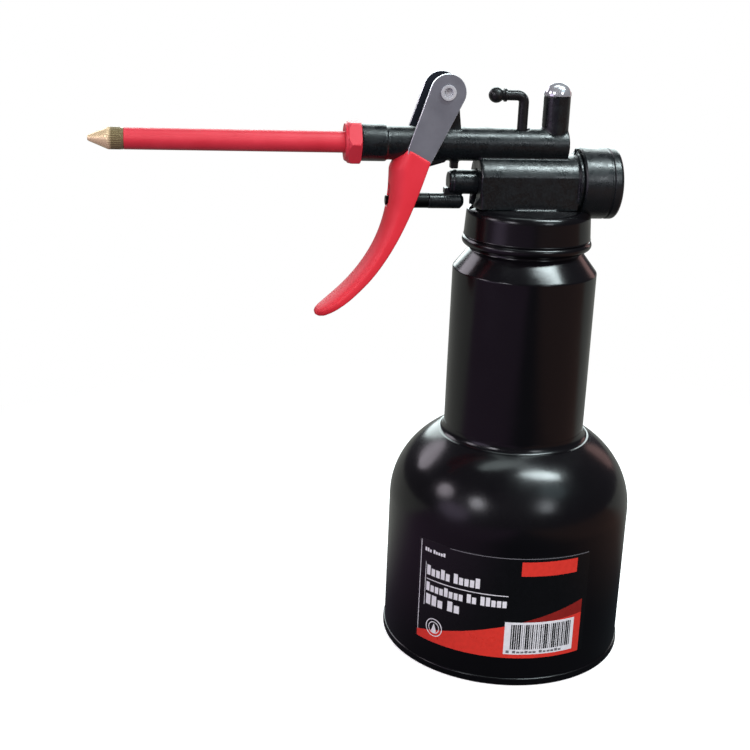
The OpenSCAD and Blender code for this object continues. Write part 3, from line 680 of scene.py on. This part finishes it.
def on_bottle(angle, z, radius):
    """A point at an angle round the bottle."""
    a = math.radians(angle)
    return (radius * math.sin(a), -radius * math.cos(a), z)


def strip_faces(first, count):
    """Faces of a closed flat strip whose cross-sections have four vertices each."""
    faces = []
    for i in range(count):
        a, b = first + 4 * i, first + 4 * (i + 1)
        faces += [(a, b, b + 1, a + 1), (a + 2, a + 3, b + 3, b + 2),
                  (a, a + 2, b + 2, b), (a + 1, b + 1, b + 3, a + 3)]
    last = first + 4 * count
    return faces + [(first, first + 1, first + 3, first + 2), (last, last + 2, last + 3, last + 1)]


def curved_patches(areas, inner, outer):
    """Thin patches bent round the bottle; an area is left, right, bottom and top, and a bottom or
    a top may be a function of the angle."""
    vertices, faces = [], []
    for left, right, bottom, top in areas:
        columns = max(1, round(abs(right - left) / 1.2))
        first = len(vertices)
        for i in range(columns + 1):
            a = left + (right - left) * i / columns
            foot = bottom(a) if callable(bottom) else bottom
            head = top(a) if callable(top) else top
            for radius in (inner, outer):
                vertices += [on_bottle(a, foot, radius), on_bottle(a, head, radius)]
        faces += strip_faces(first, columns)
    return mesh_from(vertices, faces)


def add_print(name, mesh, colour):
    add_piece(name, mesh, "label", INKS[colour], stands_in=False, smooth_angle=30)


def print_on(name, colour, layer, areas):
    """Printed areas in one ink, each layer a hair above the one under it."""
    top = LABEL_R + 0.012 * layer
    add_print(name, curved_patches(areas, top - INK_DEPTH, top), colour)


def marks(start, words, pitch, foot, head):
    """Rows of plain blocks in the place of words; a word is a number of blocks."""
    areas, left = [], start
    for word, count in enumerate(words):
        for k in range(count):
            tall = k == 0 or (k * 5 + word * 3 + count) % 4 == 0
            top = head if tall else foot + 0.74 * (head - foot)
            areas.append((left, left + 0.76 * pitch, foot, top))
            left += pitch
        left += 0.55 * pitch
    return areas


def make_label():
    """A black film with a red wedge, white rules, rows of blocks, a plain red block and stripes."""
    film = curved_patches([(LABEL_LEFT, LABEL_RIGHT, LABEL_LOW, LABEL_HIGH)], BODY_R, LABEL_R)
    add_piece("label_film", film, "label", smooth_angle=30)
    left, right, foot = -56.4, 24.9, LABEL_LOW + 0.1

    def edge(a):
        share = (a - left) / (right - left)
        return 13.8 + 17.9 * share

    def red_top(a):
        return edge(a) - 5.2 * max(0.0, (a + 12) / (right + 12))

    print_on("label_wedge", "red", 1, [(left, right, foot, red_top)])
    print_on("label_fold", "dark_red", 1,
             [(-11.9, right, lambda a: red_top(a) + 0.02, lambda a: edge(a) + 0.04)])
    print_on("label_rules", "white", 1, [(-56.2, -55.85, 13.8, 49.4), (-52.85, -52.55, 24.5, 41.5),
                                         (-52, -11.8, 35.0, 35.3)])
    print_on("label_rule_top", "grey", 1, [(-40, 26.4, 49.45, 49.7)])
    print_on("label_words", "white", 1, marks(-51.9, (5, 5), 2.62, 36.8, 40.6)
             + marks(-51.9, (8, 2, 5), 2.5, 30.6, 34.0) + marks(-51.7, (3, 2), 3.35, 25.4, 29.4))
    print_on("label_small_words", "white", 1, marks(-53.6, (3, 5), 1.36, 45.6, 47.0))
    print_on("label_block", "red", 1, [(-6.6, 20.2, 43.0, 48.4)])
    left, right, foot, head = -12.4, 21.1, 12.6, 25.2
    print_on("label_panel", "white", 2, [(left, right, foot, head)])
    count = 30
    stripes = []
    for k in range(count):
        middle = left + 3.2 + (right - left - 5.2) * k / (count - 1)
        half = 0.14 + 0.13 * (1 + math.sin(k * k * 1.7))
        stripes.append((middle - half, middle + half, foot + 2.0, head - 0.9))
    print_on("label_stripes", "black", 3, stripes)
    print_on("label_ticks", "grey", 3, marks(left + 1.2, (1, 6, 6), 1.9, foot + 0.5, foot + 1.5))
    make_seal(0.024)


def make_seal(lift):
    """A plain ringed drop, in the place of the small round mark."""
    centre, z0, radius = -46.4, 17.0, 3.5
    depths = (LABEL_R + lift - INK_DEPTH, LABEL_R + lift)

    def ring(name, outer, inner):
        sides = 48
        vertices, faces = [], []
        for k in range(sides):
            t = 2 * math.pi * k / sides
            for rim in (inner, outer):
                for r in depths:
                    a = centre + math.degrees(rim * math.cos(t) / BODY_R)
                    vertices.append(on_bottle(a, z0 + rim * math.sin(t), r))
        for k in range(sides):
            a, b = 4 * k, 4 * ((k + 1) % sides)
            faces += [(a, a + 1, b + 1, b), (a + 2, b + 2, b + 3, a + 3),
                      (a + 1, a + 3, b + 3, b + 1), (a, b, b + 2, a + 2)]
        add_print(name, mesh_from(vertices, faces), "white")

    ring("label_ring_outer", radius, radius - 0.35)
    ring("label_ring_inner", radius * 0.66, radius * 0.66 - 0.3)

    widest, height, roundness, rows = z0 - 1.2, 2.8, 2.4, 14

    def half_width(z):
        u = (z - widest) / height
        return math.sqrt(max(0.0, 1 - (u * roundness) ** 2)) if u < 0 else max(0.0, 1 - u) ** 0.8

    bottom, top = widest - height / roundness, z0 + 1.6
    vertices = []
    for i in range(rows + 1):
        z = bottom + (top - bottom) * i / rows
        half = math.degrees(max(half_width(z), 0.02) / BODY_R)
        for r in depths:
            vertices += [on_bottle(centre - half, z, r), on_bottle(centre + half, z, r)]
    add_print("label_drop", mesh_from(vertices, strip_faces(0, rows)), "white")


# ---------------------------------------------------------------- lever

def cubic(points, t):
    """A point of the lever's curves; above the first point the line runs on straight."""
    if t < 0:
        slope = Vector((-30, -70)) if points is NOSE_LINE else Vector((-46, -88))
        return Vector(points[0]) + t * slope
    weights = ((1 - t) ** 3, 3 * (1 - t) ** 2 * t, 3 * (1 - t) * t * t, t ** 3)
    return sum((Vector(p) * w for p, w in zip(points, weights)), Vector((0, 0)))


def smoothstep(x):
    """0 below 0, 1 above 1 and an even S between."""
    x = min(1.0, max(0.0, x))
    return x * x * (3 - 2 * x)


def skin_point(u, inside, t):
    """A point of the grip's skin. u runs from -1 at one rear edge over the nose to 1 at the other."""
    nose, edge = cubic(NOSE_LINE, t), cubic(EDGE_LINE, t)
    if t > TIP_START:
        round_off = math.sqrt(max(0.0, 1 - ((t - TIP_START) / (1 - TIP_START)) ** 2))
        round_off = max(round_off, 0.06)
        middle = (nose + edge) / 2
        nose, edge = middle + (nose - middle) * round_off, middle + (edge - middle) * round_off
    depth = (edge - nose).length
    along = (edge - nose) / depth
    half = GRIP_HALF - 2 * max(t - 0.66, 0)
    if t > 0.88:
        half *= math.sqrt(1 - 0.9 * ((t - 0.88) / 0.12) ** 2)
    front, round_depth = 0.0, min(5.5, 0.6 * depth)
    if inside:
        half -= GRIP_WALL
        room = (depth - GRIP_WALL) * (1 - smoothstep((t - 0.66) / 0.16))
        front = depth - max(room, 0.15)
        round_depth = min(round_depth, 0.6 * (depth - front))
    nose_share = 0.62
    if abs(u) < nose_share:
        a = u / nose_share * math.pi / 2
        back, side = front + round_depth * (1 - math.cos(a)), half * math.sin(a)
    else:
        back = front + round_depth + (depth - front - round_depth) * (abs(u) - nose_share) / (1 - nose_share)
        side = math.copysign(half, u)
    place = nose + along * back
    return Vector((place.x, side, place.y))


def skin_top(u, inside):
    """The station where a line along the skin meets the slanted top edge."""

    def above(t):
        p = skin_point(u, inside, t)
        for (x0, z0), (x1, z1) in zip(SKIN_TOP, SKIN_TOP[1:]):
            if x0 <= p.x <= x1:
                return p.z - (z0 + (z1 - z0) * (p.x - x0) / (x1 - x0))
        return p.z - (SKIN_TOP[0][1] if p.x < SKIN_TOP[0][0] else SKIN_TOP[-1][1])

    lowest, highest = -0.25, 0.3
    for _ in range(30):
        middle = (lowest + highest) / 2
        if above(middle) > 0:
            lowest = middle
        else:
            highest = middle
    return highest


def make_grip():
    """The dipped skin: an open channel at the back that fills up towards the tip."""
    across, stations = 44, 90
    us = [-1 + 2 * i / across for i in range(across + 1)]
    loop = 2 * (across + 1)
    tops = [skin_top(u, False) for u in us]
    inner_tops = [skin_top(u, True) for u in us]
    vertices, faces = [], []
    for s in range(stations + 1):
        share = math.sin(math.pi / 2 * s / stations) ** 0.9 if s else 0.0
        for u, start in zip(us, tops):
            vertices.append(skin_point(u, False, start + (1 - start) * share))
        for u, start in list(zip(us, inner_tops))[::-1]:
            vertices.append(skin_point(u, True, start + (1 - start) * share))
    for s in range(stations):
        for k in range(loop):
            a, b = s * loop + k, s * loop + (k + 1) % loop
            faces.append((a, b, b + loop, a + loop))
    for base, turn in ((0, 1), (stations * loop, -1)):
        for k in range(across):
            faces.append((base + k, base + k + 1, base + loop - 2 - k, base + loop - 1 - k)[::turn])
    mesh = finished(mesh_from(vertices, faces),
                    ("BEVEL", {"width": 0.3 * MM, "segments": 2, "limit_method": "ANGLE",
                               "angle_limit": math.radians(50)}))
    mesh = cut(mesh, rod_slot())
    mesh = finished(mesh, ("REMESH", {"mode": "VOXEL", "voxel_size": 0.32 * MM}),
                    ("SMOOTH", {"factor": 0.5, "iterations": 8}))
    add_piece("grip_skin", mesh, "lever_grip", smooth_angle=180)


def rod_slot():
    """The long hole's shape, upright, that lets the push rod through the grip."""
    half, rise, start, length = 2.0, 3.8, -56, 12
    slot = bmesh.new()
    outline = [(half * math.cos(math.radians(a)),
                half * math.sin(math.radians(a)) + (rise if a < 180 else 0))
               for a in range(0, 360, 15)]
    ring = [slot.verts.new((start * MM, y * MM, (PUSH_ROD_Z + z) * MM)) for y, z in outline]
    face = slot.faces.new(ring)
    moved = bmesh.ops.extrude_face_region(slot, geom=[face])["geom"]
    far_end = [v for v in moved if isinstance(v, bmesh.types.BMVert)]
    bmesh.ops.translate(slot, vec=(length * MM, 0, 0), verts=far_end)
    bmesh.ops.recalc_face_normals(slot, faces=slot.faces)
    tool = bpy.data.meshes.new("slot")
    slot.to_mesh(tool)
    slot.free()
    return tool


def make_ears():
    """The steel side plates. Their cut edges get a near-white steel as a painted highlight, and their inner
    faces get a near-black steel as painted shade.
    """
    mesh = finished(cad_copy("lever_plate"), WELD, FLATTEN, ("BEVEL", {
        "width": 0.16 * MM, "segments": 1, "limit_method": "ANGLE", "angle_limit": math.radians(50)}))
    piece = add_piece("ear_plates", mesh, "lever_plate", MATERIALS["bare_steel"], CUT_EDGE_GLINT_STEEL, SHADED_INNER_STEEL,
                      smooth_angle=28)
    for polygon in piece.data.polygons:
        # Side and bevel faces take the near-white steel, a painted highlight along the edges.
        if abs(polygon.normal.y) < 0.93:
            polygon.material_index = 1
        else:
            polygon.use_smooth = False
            # Inner flat faces take the near-black steel as painted shade; outer flat faces stay bare steel.
            polygon.material_index = 2 if polygon.normal.y * polygon.center.y < 0 else 0


# ---------------------------------------------------------------- head and spout

def make_nozzle():
    """Turned tip whose collar has fine straight ridges that the cone cuts into scallops."""
    x0, x1 = low("nozzle_tip").x, high("nozzle_tip").x
    radius = (high("nozzle_tip").z - low("nozzle_tip").z) / 2
    shoulder, ridges, depth = x1 - 4.9, 30, 0.16
    sides = ridges * 8
    lengths = [x0, x0 + 0.15, x0 + 0.4]
    lengths += [x0 + 0.4 + (shoulder - x0 + 0.6) * i / 16 for i in range(1, 17)]
    lengths += [x1 - 1.2, x1 - 1.0, x1 - 0.2, x1]

    def outer(x, angle):
        cone = 1.05 + (radius + 0.35 - 1.05) * (x - x0 - 0.4) / (shoulder + 0.6 - x0 - 0.4)
        if x < x0 + 0.4:
            cone = 0.75 + 0.3 * (x - x0) / 0.4
        plain = x > x1 - 1.1
        ridge = radius - (0.05 if plain else depth * (0.5 - 0.5 * math.cos(ridges * angle)))
        return min(cone, ridge - (0.2 if x == x1 else 0))

    vertices, faces = [], []
    for x in lengths:
        for k in range(sides):
            a = 2 * math.pi * k / sides
            r = outer(x, a)
            vertices.append((x, r * math.cos(a), BAR_Z + r * math.sin(a)))
    for i in range(len(lengths) - 1):
        for k in range(sides):
            a, b = i * sides + k, i * sides + (k + 1) % sides
            faces.append((a, b, b + sides, a + sides))
    faces += [tuple(range(sides)), tuple(range((len(lengths) - 1) * sides, len(lengths) * sides))]
    mesh = cut(mesh_from(vertices, faces), rod_x(x0 - 1, x1 + 1, BAR_Z, 0.4, 24))
    add_piece("nozzle", mesh, "nozzle_tip", smooth_angle=30)


def make_dome():
    """Bright cap of the outlet tower, with its plug."""
    top, bottom = high("outlet_valve_cap").z, low("outlet_valve_cap").z
    radius = (high("outlet_valve_cap").x - low("outlet_valve_cap").x) / 2
    middle = (high("outlet_valve_cap").x + low("outlet_valve_cap").x) / 2
    foot = top - radius
    outline = [(0, bottom), (2.6, bottom), (2.6, foot)] + arc((0, foot), radius, 0, 90, 24)
    mesh = lathe(outline, 96)
    mesh.transform(Matrix.Translation((middle * MM, 0, 0)))
    add_piece("tower_dome", mesh, "outlet_valve_cap", smooth_angle=40)


def make_head():
    """The castings and the turned or pressed parts that only need softer edges."""
    cast("pump_body", 0.35, 3)
    cast("crosshead", 0.22, 3)
    bevelled("barrel_end_cap", 0.2)
    bevelled("spout_nut", 0.35, 4)
    bevelled("cock_handle", 0.15)
    bevelled("pivot_rivet", 0.12)
    bevelled("push_rod", 0.2)


set_camera()
set_studio()
dress_cad()
make_bottle_body()
make_bottle_neck()
make_base()
make_screw_cap()
make_label()
make_grip()
make_ears()
make_nozzle()
make_dome()
make_head()
